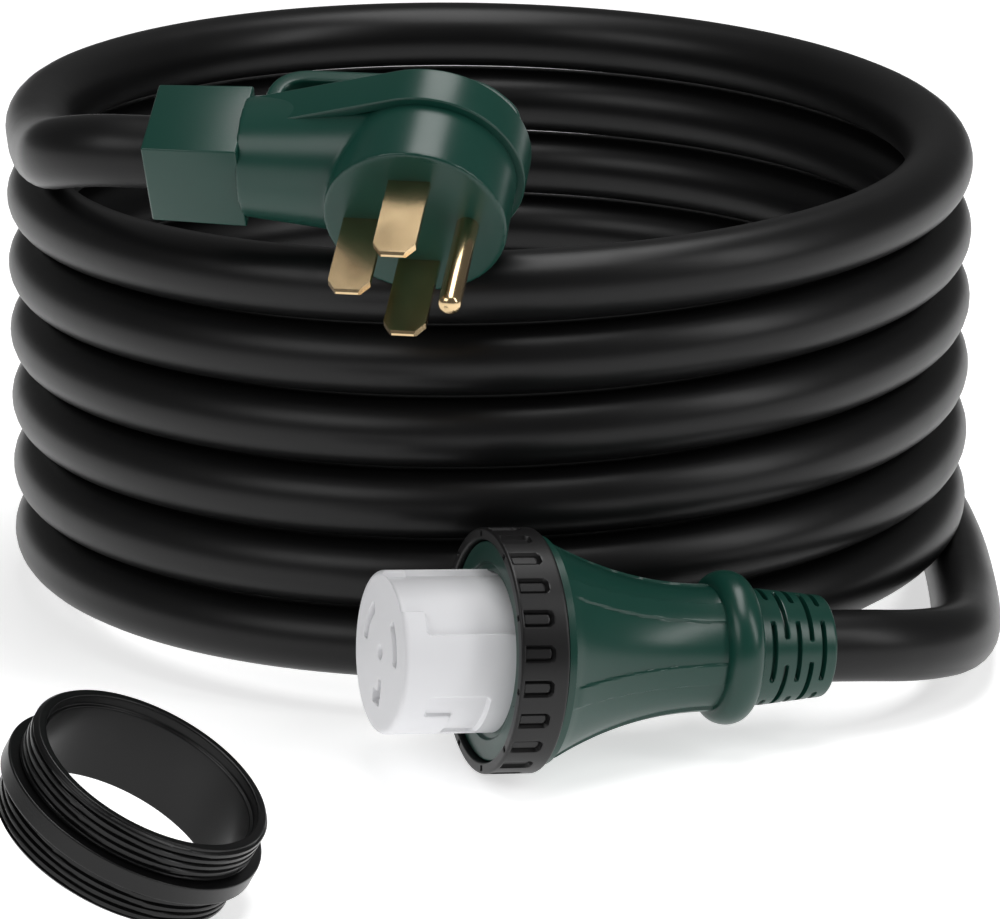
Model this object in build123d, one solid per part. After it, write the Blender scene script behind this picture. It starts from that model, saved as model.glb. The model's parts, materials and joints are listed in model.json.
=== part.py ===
from build123d import *

import os
from math import cos, pi, radians, sin, tan

# Shore power cord: a right-angle four-blade plug, a coiled heavy cable, a locking
# connector and a loose threaded adapter ring. Millimetres, +Z up. The model is laid
# out about the coil's axis with the floor at zero, and moved at the end so that the
# origin is the bottom centre of the whole object's box.

# --- cable and coil ---------------------------------------------------------------
CABLE_D = 26.0
CABLE_R = CABLE_D / 2
COIL_R = 174.6               # centre line of the turns
COIL_START_ANGLE = 186.0     # top end, where the plug's lead leaves the coil
COIL_END_ANGLE = 66.0        # bottom end, where the connector's lead leaves it
COIL_FULL_TURNS = 6
COIL_TOP = 184.6             # height of the cable's centre at the top end
SECTOR = 15.0                # one step of the coil's spiral outline, in degrees
LEAD_GAP = 0.5               # air above the bottom lead where turns pass over it
LEAD_UNDER_END = -39.0       # the bottom lead is clear of the coil past this angle

# --- plug -------------------------------------------------------------------------
PLUG_EXIT = (-119.9, -165.8, 211.6)
PLUG_YAW = 10.0              # the neck turns this far towards the front
PLUG_TILT = 28.5             # the blades point this far below level
COLLAR_SIDE = 36.0
COLLAR_LENGTH = 35.0
COLLAR_EDGE = 1.2
NECK_R = 22.0
NECK_END_R = 30.0
NECK_BACK = 16.0             # the neck is flat behind, under the handle
NECK_BORE_R = 13.5
HEAD_X = 100.0
HEAD_R = 33.0
HEAD_TOP = 4.0
FACE_DROP = 31.0             # neck axis to the blade face
PLUG_WALL = 4.5
FACE_PLATE_R = 27.0
FACE_PLATE_T = 7.0
RIM_R = 35.5
RIM_T = 4.0
RIM_LOW = -4.5
RIM_HIGH = 11.4
HANDLE_W = 18.0
HANDLE_T = 6.0
HANDLE_HEIGHT = 38.0
BLADE_W = 15.0
BLADE_T = 2.6
BLADE_LENGTH = 37.0
BLADE_TIP = 5.0
LINE_SPACING = 38.0
NEUTRAL_X = -18.0
GROUND_X = 19.0
GROUND_PIN_D = 8.2
GROUND_PIN_LENGTH = 43.0
GROUND_ROOT_R = 3.5            # the pin's root behind its shoulder
BLADE_ROOT = 14.0            # length held inside the plug
FIT = 0.15                   # clearance of a blade in its slot, each side

# --- connector --------------------------------------------------------------------
CONNECTOR_EXIT = (120.0, -195.0, 34.0)
CONNECTOR_YAW = 18.5
CONNECTOR_NOSE_UP = 5.4
BOOT_LENGTH = 32.0
BOOT_R = 22.0
BOOT_END_R = 18.5
BEAD_X = 37.0
BEAD_R = 28.0
BEAD_WIDTH = 14.0
BELL_START = 43.0
BELL_END = 108.0
BELL_NECK_R = 22.0
BELL_MID_R = 26.5
BELL_MOUTH_R = 40.5
CONNECTOR_WALL = 3.5
RIBS = 6
RIB_W = 8.0
RIB_HEIGHT = 0.9
FLANGE_R = 39.3
FLANGE_START = 108.0
FLANGE_END = 128.0
RING_START = 112.0
RING_END = 130.0
RING_R = 44.0
RING_CLEARANCE = 0.5
RING_GRIPS = 22
GRIP_W = 6.5
GRIP_LENGTH = 12.5
GRIP_DEPTH = 1.9
RING_HOLES = 10
RING_HOLE = 1.8
INSERT_R = 29.2
INSERT_END = 168.0
INSERT_BORE_CLEARANCE = 0.2
CONTACT_RADIUS = 16.5
CONTACT_T = 1.6
CONTACT_SLOT_T = 4.2
CONTACT_SWEEP = 52.0
CONTACT_DEPTH = 30.0
GROUND_SOCKET_R = 2.3
GASKET_SECTION = 1.5

# --- adapter ring -----------------------------------------------------------------
ADAPTER_CENTRE = (-119.5, -365.0)
ADAPTER_LEAN = 28.8
ADAPTER_LEAN_YAW = 17.6
ADAPTER_FLANGE_R = 47.0
ADAPTER_FLANGE_T = 7.0
ADAPTER_THREAD_R = 43.4
ADAPTER_THREAD_LENGTH = 13.0
ADAPTER_BORE_R = 38.0
ADAPTER_STEP = 1.2           # the mouth is wider by this
ADAPTER_STEP_DEPTH = 4.0
FLOOR_GAP = 0.05
THREAD_PITCH = 2.6
THREAD_DEPTH = 1.1

# --- wires ------------------------------------------------------------------------
CORE_R = 2.6                 # an insulated core
WIRE_RING_R = 6.0            # the four cores lie on this circle inside the jacket
TAIL_LENGTH = 22.0           # jacket that reaches into each end fitting
CORE_DROP = 1.6              # air above the cores where they bend down in the head
GROUND_CORE_DROP = 3.9       # the ground core passes under the others
CRIMP_R = 3.6
CRIMP_H = 6.0

TOTAL_TURNS = COIL_FULL_TURNS + (COIL_START_ANGLE - COIL_END_ANGLE) / 360
PITCH = (COIL_TOP - CABLE_R) / TOTAL_TURNS

parts = {}


def polar(radius, angle, height=0.0):
    """A point at an angle in degrees about the coil's axis."""
    return Vector(radius * cos(radians(angle)), radius * sin(radians(angle)), height)


def along_x(solid):
    """Turns a solid made about Z so that it is about X."""
    return Rot(0, 90, 0) * solid


def rod_x(radius, start, end):
    """A cylinder about X between two stations."""
    return Pos((start + end) / 2, 0, 0) * along_x(Cylinder(radius, end - start))


def turned_x(outline):
    """Revolves a closed outline of (station, radius) points about X."""
    with BuildPart() as made:
        with BuildSketch(Plane.XY):
            with BuildLine():
                Polyline(*outline, close=True)
            make_face()
        revolve(axis=Axis.X)
    return made.part


def tube(points, radii, radius):
    """A round solid along straight runs joined by tangent arcs."""
    path = FilletPolyline(*points, radius=radii) if radii else Polyline(*points)
    start = Plane(origin=path @ 0, z_dir=path % 0)
    return sweep(start * Circle(radius), path=path)


def arc_radii(points):
    """The largest arc that each corner's two runs allow, 0.45 of the shorter run."""
    radii = []
    for before, corner, after in zip(points, points[1:], points[2:]):
        run_in = corner - before
        run_out = after - corner
        half_turn = radians(run_in.get_angle(run_out)) / 2
        radii.append(0.45 * min(run_in.length, run_out.length) / tan(half_turn))
    return radii


# --- the coil ---------------------------------------------------------------------
def coil_solid():
    """One solid with the coil's outer shape: a ring whose top winds down by a pitch."""
    corner = CABLE_R * (2 - 2 ** 0.5)
    inner = COIL_R - CABLE_R
    outer = COIL_R + CABLE_R
    solid = None
    for step in range(round(360 / SECTOR)):
        high = COIL_START_ANGLE - step * SECTOR
        top = COIL_TOP - PITCH * (step + 1) * SECTOR / 360 + CABLE_R
        if step == 0:
            top = COIL_TOP + CABLE_R
        over_lead = LEAD_UNDER_END < high <= COIL_END_ANGLE
        base = CABLE_D + LEAD_GAP if over_lead else 0.0
        with BuildPart() as made:
            with BuildSketch(Plane.XZ):
                with BuildLine():
                    Polyline((inner, base), (outer, base), (outer, top - corner),
                             (outer - corner, top), (inner + corner, top),
                             (inner, top - corner), close=True)
                make_face()
            revolve(axis=Axis.Z, revolution_arc=SECTOR)
        sector = Rot(0, 0, high - SECTOR) * made.part
        solid = sector if solid is None else solid + sector
    return solid


# --- where the two end fittings stand ---------------------------------------------
def plug_plane():
    """X along the neck towards the head, -Z the way the blades point."""
    yaw = radians(PLUG_YAW)
    tilt = radians(PLUG_TILT)
    neck = (cos(yaw), -sin(yaw), 0)
    back = (sin(yaw) * cos(tilt), cos(yaw) * cos(tilt), sin(tilt))
    return Plane(origin=PLUG_EXIT, x_dir=neck, z_dir=back)


def connector_plane():
    """X from the cable end towards the contact face."""
    yaw = radians(CONNECTOR_YAW)
    nose = radians(CONNECTOR_NOSE_UP)
    ahead = (-cos(yaw) * cos(nose), -sin(yaw) * cos(nose), sin(nose))
    up = (cos(yaw) * sin(nose), sin(yaw) * sin(nose), cos(nose))
    return Plane(origin=CONNECTOR_EXIT, x_dir=ahead, z_dir=up)


PLUG = plug_plane()
CONNECTOR = connector_plane()


# --- leads ------------------------------------------------------------------------
def lead_to_plug():
    """From the coil's top end, up and round into the plug's collar."""
    start = polar(COIL_R, COIL_START_ANGLE, COIL_TOP)
    heading = polar(1, COIL_START_ANGLE + 90)
    exit_point = Vector(*PLUG_EXIT)
    return [
        start,
        start + heading * 32 + Vector(0, 0, 2.6),
        Vector(-166.0, -85.8, 192.2),
        Vector(-161.7, -117.5, 199.0),
        Vector(-158.7, -135.3, 203.6),
        Vector(-154.5, -144.9, 206.4),
        Vector(-148.1, -153.2, 208.9),
        Vector(-139.8, -159.7, 210.8),
        exit_point - PLUG.x_dir * 10.5,
        exit_point,
    ]


def lead_to_connector():
    """From the coil's bottom end, along the floor and forward into the boot."""
    start = polar(COIL_R, COIL_END_ANGLE, CABLE_R)
    heading = polar(1, COIL_END_ANGLE - 90)
    exit_point = Vector(*CONNECTOR_EXIT)
    return [
        start,
        start + heading * 52,
        Vector(156.0, 101.0, CABLE_R),
        Vector(178.5, 52.0, CABLE_R),
        Vector(182.6, -5.0, CABLE_R),
        Vector(183.2, -50.0, CABLE_R),
        Vector(181.9, -95.0, 14.5),
        Vector(179.0, -130.0, 18.2),
        Vector(174.2, -149.5, 21.3),
        Vector(165.2, -165.3, 24.8),
        Vector(152.6, -178.6, 28.4),
        exit_point - CONNECTOR.x_dir * 18,
        exit_point,
    ]


def add_lead(name, points):
    """Makes a lead's tube and reports its arcs and its volume."""
    radii = arc_radii(points)
    path = FilletPolyline(*points, radius=radii)
    solid = tube(points, radii, CABLE_R)
    expected = pi * CABLE_R ** 2 * path.length
    print(name, "arc radii", [round(radius) for radius in radii],
          "length", round(path.length, 1),
          "volume ratio", round(solid.volume / expected, 5))
    parts[name] = solid
    return path.length


# --- plug -------------------------------------------------------------------------
BLADES = {
    "blade_line_x": (0.0, -LINE_SPACING / 2),
    "blade_line_y": (0.0, LINE_SPACING / 2),
    "blade_neutral": (NEUTRAL_X, 0.0),
}


def plug_outer():
    """Neck and head before they are hollowed."""
    neck_length = HEAD_X - COLLAR_LENGTH
    neck = Pos(COLLAR_LENGTH + neck_length / 2, 0, 0) * along_x(
        Cone(NECK_R, NECK_END_R, neck_length))
    neck -= Pos(HEAD_X, 0, NECK_BACK + 20) * Box(200, 100, 40)
    head = Pos(HEAD_X, 0, (HEAD_TOP - FACE_DROP) / 2) * Cylinder(
        HEAD_R, HEAD_TOP + FACE_DROP)
    return neck, head


def make_plug_body():
    neck, head = plug_outer()
    floor_half = Pos(HEAD_X, 0, -FACE_DROP - 50) * Box(200, 200, 100)
    body = (neck + head) - floor_half
    room_r = HEAD_R - PLUG_WALL
    room_top = HEAD_TOP - PLUG_WALL
    room_low = -FACE_DROP + FACE_PLATE_T
    room = Pos(HEAD_X, 0, (room_top + room_low) / 2) * Cylinder(
        room_r, room_top - room_low)
    mouth = Pos(HEAD_X, 0, -FACE_DROP + FACE_PLATE_T / 2) * Cylinder(
        FACE_PLATE_R + FIT, FACE_PLATE_T + 0.02)
    bore = rod_x(NECK_BORE_R, COLLAR_LENGTH - 1, HEAD_X)
    return body - room - mouth - bore


def make_plug_face():
    plate = Pos(0, 0, -FACE_DROP + FACE_PLATE_T / 2) * Cylinder(FACE_PLATE_R, FACE_PLATE_T)
    for x, y in BLADES.values():
        plate -= Pos(x, y, -FACE_DROP + FACE_PLATE_T / 2) * Box(
            BLADE_W + 2 * FIT, BLADE_T + 2 * FIT, FACE_PLATE_T + 2)
    plate -= Pos(GROUND_X, 0, -FACE_DROP + FACE_PLATE_T / 2) * Cylinder(
        GROUND_ROOT_R + FIT, FACE_PLATE_T + 2)
    return Pos(HEAD_X, 0, 0) * plate


def make_blade(x, y):
    """A flat blade with its tip's corners cut off, and a root inside the plug."""
    half = BLADE_W / 2
    low = -FACE_DROP - BLADE_LENGTH
    high = -FACE_DROP + BLADE_ROOT
    tip = half - BLADE_TIP * 0.7
    with BuildPart() as made:
        with BuildSketch(Plane.XZ):
            with BuildLine():
                Polyline((-half, high), (-half, low + BLADE_TIP), (-tip, low), (tip, low),
                         (half, low + BLADE_TIP), (half, high), close=True)
            make_face()
        extrude(amount=BLADE_T / 2, both=True)
    tip_edges = made.part.edges().filter_by(Axis.X).group_by(Axis.Z)[0]
    return Pos(HEAD_X + x, y, 0) * chamfer(tip_edges, 0.8)


def make_ground_pin():
    """A round pin whose shoulder sits on the face, with a thinner root behind it."""
    pin = Pos(0, 0, -FACE_DROP - GROUND_PIN_LENGTH / 2) * Cylinder(
        GROUND_PIN_D / 2, GROUND_PIN_LENGTH)
    pin = fillet(pin.edges().group_by(Axis.Z)[0], GROUND_PIN_D / 2 - 0.6)
    pin += Pos(0, 0, -FACE_DROP + BLADE_ROOT / 2) * Cylinder(GROUND_ROOT_R, BLADE_ROOT)
    return Pos(HEAD_X + GROUND_X, 0, 0) * pin


def make_inner_core():
    """The insulating block that holds the blades' roots."""
    top = -FACE_DROP + FACE_PLATE_T + 4.5
    core = Pos(0, 0, top - 2.25) * Cylinder(FACE_PLATE_R, 4.5)
    for x, y in BLADES.values():
        core -= Pos(x, y, top) * Box(BLADE_W + 2 * FIT, BLADE_T + 2 * FIT, 20)
    core -= Pos(GROUND_X, 0, top) * Cylinder(GROUND_ROOT_R + FIT, 20)
    return Pos(HEAD_X, 0, 0) * core


def make_crimps():
    """One crimp barrel on each blade root and on the ground pin."""
    barrels = []
    base = -FACE_DROP + BLADE_ROOT
    for x, y in [*BLADES.values(), (GROUND_X, 0.0)]:
        barrel = Cylinder(CRIMP_R, CRIMP_H) - Pos(0, 0, 1.2) * Cylinder(CORE_R + 0.05, CRIMP_H)
        barrels.append(Pos(HEAD_X + x, y, base + CRIMP_H / 2) * barrel)
    return Compound(children=barrels)


def band(width_low, width_high, outer):
    """A strip of constant wall that follows a closed outline in plan."""
    inner = offset(outer, -RIM_T)
    strip = extrude(outer - inner, width_high - width_low)
    return Pos(0, 0, width_low) * strip


def make_rim_band():
    """The raised band round the head, drawn in to the collar on both sides."""
    half = COLLAR_SIDE / 2
    head = Pos(HEAD_X, 0) * Circle(RIM_R)
    link = make_face(Polyline((COLLAR_LENGTH, -half), (HEAD_X - 10, -RIM_R + 1.4),
                              (HEAD_X - 10, RIM_R - 1.4), (COLLAR_LENGTH, half), close=True))
    outline = head + link
    solid = band(RIM_LOW, RIM_HIGH, outline)
    neck, head_solid = plug_outer()
    solid -= neck
    solid -= head_solid
    return solid - Pos(COLLAR_LENGTH / 2, 0, 0) * Box(COLLAR_LENGTH, 80, 80)


def make_handle():
    """The arched grip behind the plug, from the collar over to the head's far side."""
    low_x = COLLAR_LENGTH + 2
    far_x = HEAD_X + HEAD_R - 1
    with BuildPart() as made:
        with BuildSketch(Plane.XZ):
            with BuildLine():
                outer = FilletPolyline((low_x, RIM_HIGH), (low_x, HANDLE_HEIGHT),
                                       (far_x - 16, HANDLE_HEIGHT), (far_x, RIM_HIGH + 8),
                                       (far_x, RIM_HIGH), radius=[12, 16, 12])
                Line(outer @ 1, outer @ 0)
            make_face()
            with BuildLine():
                inner = FilletPolyline(
                    (low_x + HANDLE_T, RIM_HIGH), (low_x + HANDLE_T, HANDLE_HEIGHT - HANDLE_T),
                    (far_x - 18, HANDLE_HEIGHT - HANDLE_T), (far_x - HANDLE_T, RIM_HIGH + 6),
                    (far_x - HANDLE_T, RIM_HIGH), radius=[7, 11, 7])
                Line(inner @ 1, inner @ 0)
            make_face(mode=Mode.SUBTRACT)
        extrude(amount=HANDLE_W / 2, both=True)
    neck, _ = plug_outer()
    return made.part - neck


def make_handle_seat():
    """The web under the handle that closes the back of the plug."""
    outline = Pos(HEAD_X, 0) * Circle(RIM_R - RIM_T - FIT)
    half = COLLAR_SIDE / 2 - RIM_T - FIT
    link = make_face(Polyline((COLLAR_LENGTH + FIT, -half), (HEAD_X - 10, -RIM_R + RIM_T + 2.4),
                              (HEAD_X - 10, RIM_R - RIM_T - 2.4), (COLLAR_LENGTH + FIT, half),
                              close=True))
    plate = Pos(0, 0, HEAD_TOP) * extrude(outline + link, RIM_HIGH - HEAD_TOP - 0.1)
    neck, head_solid = plug_outer()
    return plate - neck - head_solid


def make_collar():
    block = Pos(COLLAR_LENGTH / 2, 0, 0) * Box(COLLAR_LENGTH, COLLAR_SIDE, COLLAR_SIDE)
    block = chamfer(block.edges().filter_by(Axis.X), COLLAR_EDGE)
    tail_room = rod_x(CABLE_R + FIT, -1, TAIL_LENGTH)
    wire_room = rod_x(NECK_BORE_R, TAIL_LENGTH - 1, COLLAR_LENGTH + 1)
    return block - tail_room - wire_room


def make_tail():
    """The end of the jacket inside a fitting, with holes for its four cores."""
    tail = rod_x(CABLE_R, 0, TAIL_LENGTH)
    for angle in CORES.values():
        hole_y = WIRE_RING_R * cos(radians(angle))
        hole_z = WIRE_RING_R * sin(radians(angle))
        tail -= Pos(0, hole_y, hole_z) * rod_x(CORE_R + 0.05, 1.0, TAIL_LENGTH + 1)
    return tail


CORES = {"line_x": 135.0, "line_y": 45.0, "neutral": 225.0, "ground": 315.0}
CORE_SPREAD = {                # where three of the cores part, in the plug's neck
    "line_x": Vector(76, -9.5, -0.5),
    "line_y": Vector(76, 9.5, -0.5),
    "ground": Vector(74, 7.2, -5.6),
}


def core_start(name):
    angle = CORES[name]
    return Vector(1.0, WIRE_RING_R * cos(radians(angle)), WIRE_RING_R * sin(radians(angle)))


def wire(points, radius):
    """An insulated core with an arc at each corner that its runs allow."""
    radii = [min(value, 14.0) for value in arc_radii(points)]
    return tube(points, radii, radius)


def add_plug():
    place = PLUG.location
    made = {
        "plug_collar": make_collar(),
        "plug_body": make_plug_body(),
        "plug_rim_band": make_rim_band(),
        "plug_handle": make_handle(),
        "plug_handle_seat": make_handle_seat(),
        "plug_face": make_plug_face(),
        "plug_inner_core": make_inner_core(),
        "plug_ground_pin": make_ground_pin(),
        "plug_terminal_crimps": make_crimps(),
        "plug_cord_tail": make_tail(),
    }
    for name, (x, y) in BLADES.items():
        made["plug_" + name] = make_blade(x, y)
    ends = {
        "line_x": BLADES["blade_line_x"],
        "line_y": BLADES["blade_line_y"],
        "neutral": BLADES["blade_neutral"],
        "ground": (GROUND_X, 0.0),
    }
    barrel_base = -FACE_DROP + BLADE_ROOT + 1.2
    for name, (x, y) in ends.items():
        start = core_start(name)
        drop = GROUND_CORE_DROP if name == "ground" else CORE_DROP
        turn_z = HEAD_TOP - PLUG_WALL - drop - CORE_R
        route = [start]
        if name == "neutral":
            route.append(Vector(71, start.Y, start.Z))
        else:
            route += [Vector(58, start.Y, start.Z), CORE_SPREAD[name]]
        if name == "ground":
            route.append(Vector(91, 10.5, -9.0))
        route += [Vector(HEAD_X + x - 11, y * 0.8, turn_z),
                  Vector(HEAD_X + x, y, turn_z - 0.6), Vector(HEAD_X + x, y, barrel_base)]
        made["plug_wire_" + name] = wire(route, CORE_R)
    for name, solid in made.items():
        parts[name] = place * solid


# --- connector --------------------------------------------------------------------
def make_bell():
    outer = [(BELL_START, BELL_NECK_R), (62, 24.0), (78, BELL_MID_R), (92, 31.5),
             (102, 37.0), (BELL_END, BELL_MOUTH_R)]
    inner = [(station, radius - CONNECTOR_WALL) for station, radius in reversed(outer)]
    bell = turned_x(outer + inner)
    ribbed = [(station, radius + RIB_HEIGHT) for station, radius in outer[1:-1]]
    sunk = [(station, radius - 1.0) for station, radius in reversed(outer[1:-1])]
    ridge = turned_x(ribbed + sunk) & Pos(BELL_END - 25, RIB_W * 4, 0) * Box(60, RIB_W * 8, RIB_W)
    for index in range(RIBS):
        bell += Rot(index * 360 / RIBS, 0, 0) * ridge
    return bell


def make_bead():
    """The round swelling behind the bell, with the cable's wires passing through."""
    half = BEAD_WIDTH / 2
    with BuildPart() as made:
        with BuildSketch(Plane.XY):
            with BuildLine():
                low = Polyline((BELL_START, 15.0), (BELL_START, BELL_NECK_R),
                               (BEAD_X + half - 1.0, BELL_NECK_R + 1.5))
                top = ThreePointArc(low @ 1, (BEAD_X, BEAD_R), (BEAD_X - half + 1, BELL_NECK_R + 1.5))
                Polyline(top @ 1, (BOOT_LENGTH - 2, BOOT_R), (BOOT_LENGTH - 2, 15.0),
                         (BELL_START, 15.0))
            make_face()
        revolve(axis=Axis.X)
    return made.part


def make_boot():
    """The tapered strain relief with rings of staggered slots."""
    boot = turned_x([(0, CABLE_R + FIT), (0, BOOT_END_R - 1.5), (1.5, BOOT_END_R),
                     (BOOT_LENGTH - 2, BOOT_R), (BOOT_LENGTH - 2, CABLE_R + FIT)])
    slot_width = 1.8
    for ring, station in enumerate((5.5, 10.5, 15.5, 20.5, 25.5)):
        for index in range(4):
            cut = turned_x([(station - slot_width / 2, CABLE_R + 3.2),
                            (station + slot_width / 2, CABLE_R + 3.2),
                            (station + slot_width / 2, BOOT_R + 3),
                            (station - slot_width / 2, BOOT_R + 3)])
            wedge = Pos(station, 0, 0) * Rot(ring * 45 + index * 90, 0, 0) * (
                Pos(0, 0, BOOT_R) * Box(slot_width * 2, BOOT_R * 1.05, BOOT_R * 1.2))
            boot -= cut & wedge
    return boot


def make_flange():
    """The front carrier that holds the insert and the ring."""
    return turned_x([(FLANGE_START, INSERT_R + INSERT_BORE_CLEARANCE), (FLANGE_START, FLANGE_R + 1.2),
                     (RING_START - 0.4, FLANGE_R + 1.2), (RING_START - 0.4, FLANGE_R),
                     (FLANGE_END - 0.6, FLANGE_R), (FLANGE_END, FLANGE_R - 0.6),
                     (FLANGE_END, INSERT_R + INSERT_BORE_CLEARANCE)])


def make_ring():
    """The locking ring, with open-fronted finger grips and small drive holes."""
    bore = FLANGE_R + RING_CLEARANCE
    ring = turned_x([(RING_START, bore), (RING_START, RING_R - 1.0), (RING_START + 1, RING_R),
                     (RING_END - 1, RING_R), (RING_END, RING_R - 1.0), (RING_END, bore)])
    for index in range(RING_GRIPS):
        grip = Box(GRIP_LENGTH, GRIP_W, GRIP_DEPTH * 2)
        grip = fillet(grip.edges().filter_by(Axis.Z).group_by(Axis.X)[0], GRIP_W / 2 - 0.2)
        grip = Pos(RING_END - GRIP_LENGTH / 2 - 2.2, 0, RING_R) * grip
        ring -= Rot(index * 360 / RING_GRIPS, 0, 0) * grip
    middle = (bore + RING_R) / 2
    for index in range(RING_HOLES):
        hole = Pos(RING_END, 0, middle) * Box(5.0, RING_HOLE, RING_HOLE)
        ring -= Rot(index * 360 / RING_HOLES + 8, 0, 0) * hole
    return ring


def slot_solid(radius, thickness, sweep_angle, start, end):
    """A curved slot or blade about X."""
    with BuildPart() as made:
        with BuildSketch(Plane.XZ):
            with Locations((radius, (start + end) / 2)):
                Rectangle(thickness, end - start)
        revolve(axis=Axis.Z, revolution_arc=sweep_angle)
    solid = Rot(0, 0, -sweep_angle / 2) * made.part
    return along_x(solid)


CONTACTS = {"line_x": 105.0, "line_y": 255.0}


def make_insert():
    """The white contact insert with its curved slots, key and bayonet recess."""
    body = rod_x(INSERT_R, BELL_END - 6, INSERT_END)
    body = fillet(body.edges().group_by(Axis.X)[-1], 2.0)
    for angle in CONTACTS.values():
        cut = slot_solid(CONTACT_RADIUS, CONTACT_SLOT_T, CONTACT_SWEEP,
                         INSERT_END - CONTACT_DEPTH, INSERT_END + 1)
        body -= Rot(angle, 0, 0) * cut
    bar = Pos(INSERT_END - CONTACT_DEPTH / 2 + 0.5, 0, -CONTACT_RADIUS) * Box(
        CONTACT_DEPTH + 1, 7.5, 4.6)
    foot = Pos(INSERT_END - CONTACT_DEPTH / 2 + 0.5, 3.0, -CONTACT_RADIUS + 3.2) * Box(
        CONTACT_DEPTH + 1, 3.6, 5.0)
    body -= bar + foot
    body -= rod_x(GROUND_SOCKET_R + FIT, INSERT_END - CONTACT_DEPTH, INSERT_END + 1)
    key = Pos(INSERT_END - 16, -3.0, INSERT_R) * Box(40, 26, 7.0)
    body -= key
    recess_ring = rod_x(INSERT_R + 1, FLANGE_END, INSERT_END) - rod_x(
        INSERT_R - 1.6, FLANGE_END - 1, INSERT_END + 1)
    long_leg = Pos(FLANGE_END + 17, 16, -21) * Box(24, 26, 9)
    short_leg = Pos(FLANGE_END + 9, 9, -25) * Box(8, 22, 16)
    body -= recess_ring & (long_leg + short_leg)
    return body


def make_contact(angle):
    blade = slot_solid(CONTACT_RADIUS, CONTACT_T, CONTACT_SWEEP - 12,
                       INSERT_END - CONTACT_DEPTH, INSERT_END - 6)
    return Rot(angle, 0, 0) * blade


def make_neutral_contact():
    return Pos(INSERT_END - CONTACT_DEPTH / 2 - 3, 0, -CONTACT_RADIUS) * Box(
        CONTACT_DEPTH - 6, 5.4, 1.6)


def make_ground_contact():
    """A small split-free socket behind the hole in the middle of the face."""
    start = INSERT_END - CONTACT_DEPTH
    return rod_x(GROUND_SOCKET_R, start, INSERT_END - 9) - rod_x(
        GROUND_SOCKET_R - 0.7, start + 3, INSERT_END)


def make_gasket():
    return Pos(BELL_END - 5.0, 0, 0) * along_x(Torus(31.2, GASKET_SECTION))


def make_terminal_screws():
    """The four wire clamp screws on the back of the insert."""
    screws = []
    for angle in (45.0, 135.0, 225.0, 315.0):
        head = Pos(BELL_END - 7.6, 0, 0) * along_x(Cylinder(2.6, 3.0))
        slot = Pos(BELL_END - 9.0, 0, 0) * Box(1.2, 0.8, 6)
        y = 19.5 * cos(radians(angle))
        z = 19.5 * sin(radians(angle))
        screws.append(Pos(0, y, z) * (head - slot))
    return Compound(children=screws)


def add_connector():
    place = CONNECTOR.location
    made = {
        "connector_body": make_bell(),
        "connector_bead": make_bead(),
        "strain_relief_boot": make_boot(),
        "connector_front_flange": make_flange(),
        "locking_ring": make_ring(),
        "face_insert": make_insert(),
        "contact_neutral": make_neutral_contact(),
        "contact_ground": make_ground_contact(),
        "sealing_gasket": make_gasket(),
        "connector_terminal_screws": make_terminal_screws(),
        "connector_cord_tail": make_tail(),
    }
    for name, angle in CONTACTS.items():
        made["contact_" + name] = make_contact(angle)
    for name, angle in CORES.items():
        start = core_start(name)
        y = 12.0 * cos(radians(angle))
        z = 12.0 * sin(radians(angle))
        route = [start, Vector(40, start.Y, start.Z), Vector(78, y, z), Vector(BELL_END - 6, y, z)]
        made["connector_wire_" + name] = wire(route, CORE_R)
    for name, solid in made.items():
        parts[name] = place * solid


# --- adapter ring -----------------------------------------------------------------
def adapter_plane():
    """X along the ring's axis, with the ring's lowest edge just on the floor."""
    lean = radians(ADAPTER_LEAN)
    yaw = radians(ADAPTER_LEAN_YAW)
    axis = Vector(sin(lean) * cos(yaw), -sin(lean) * sin(yaw), cos(lean))
    side = Vector(sin(yaw), cos(yaw), 0)
    half = ADAPTER_FLANGE_T / 2
    flange_low = half * cos(lean) + ADAPTER_FLANGE_R * sin(lean)
    thread_low = (half + ADAPTER_THREAD_LENGTH) * cos(lean) + ADAPTER_THREAD_R * sin(lean)
    height = max(flange_low, thread_low) + FLOOR_GAP
    return Plane(origin=(*ADAPTER_CENTRE, height), x_dir=axis, z_dir=side)


ADAPTER = adapter_plane()


def thread_profile(start, end):
    """Crests and roots of a run of thread, as (station, radius) points."""
    crest = ADAPTER_THREAD_R
    root = ADAPTER_THREAD_R - THREAD_DEPTH
    count = int((end - start - 0.4) / THREAD_PITCH)
    spare = (end - start - count * THREAD_PITCH) / 2
    points = [(start, root)]
    for index in range(count):
        base = start + spare + index * THREAD_PITCH
        points += [(base + 0.5, crest), (base + THREAD_PITCH - 0.9, crest),
                   (base + THREAD_PITCH - 0.4, root)]
    return points + [(end, root)]


def make_adapter():
    """A ring with a middle flange and a run of thread on each side of it."""
    half = ADAPTER_FLANGE_T / 2
    end = half + ADAPTER_THREAD_LENGTH
    profile = [(-end, ADAPTER_BORE_R), *thread_profile(-end, -half)]
    profile += [(-half, ADAPTER_FLANGE_R), (half, ADAPTER_FLANGE_R)]
    profile += [*thread_profile(half, end), (end, ADAPTER_BORE_R + ADAPTER_STEP)]
    profile += [(end - ADAPTER_STEP_DEPTH, ADAPTER_BORE_R + ADAPTER_STEP),
                (end - ADAPTER_STEP_DEPTH, ADAPTER_BORE_R)]
    return ADAPTER.location * turned_x(profile)


# --- assembly ---------------------------------------------------------------------
add_plug()
add_connector()
parts["threaded_adapter_ring"] = make_adapter()
parts["cable_coil"] = coil_solid()
lead_length = add_lead("cable_lead_plug", lead_to_plug())
lead_length += add_lead("cable_lead_connector", lead_to_connector())
turn_length = ((2 * pi * COIL_R) ** 2 + PITCH ** 2) ** 0.5
print("cable outside the fittings", round(lead_length + turn_length * TOTAL_TURNS, 1))

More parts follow.
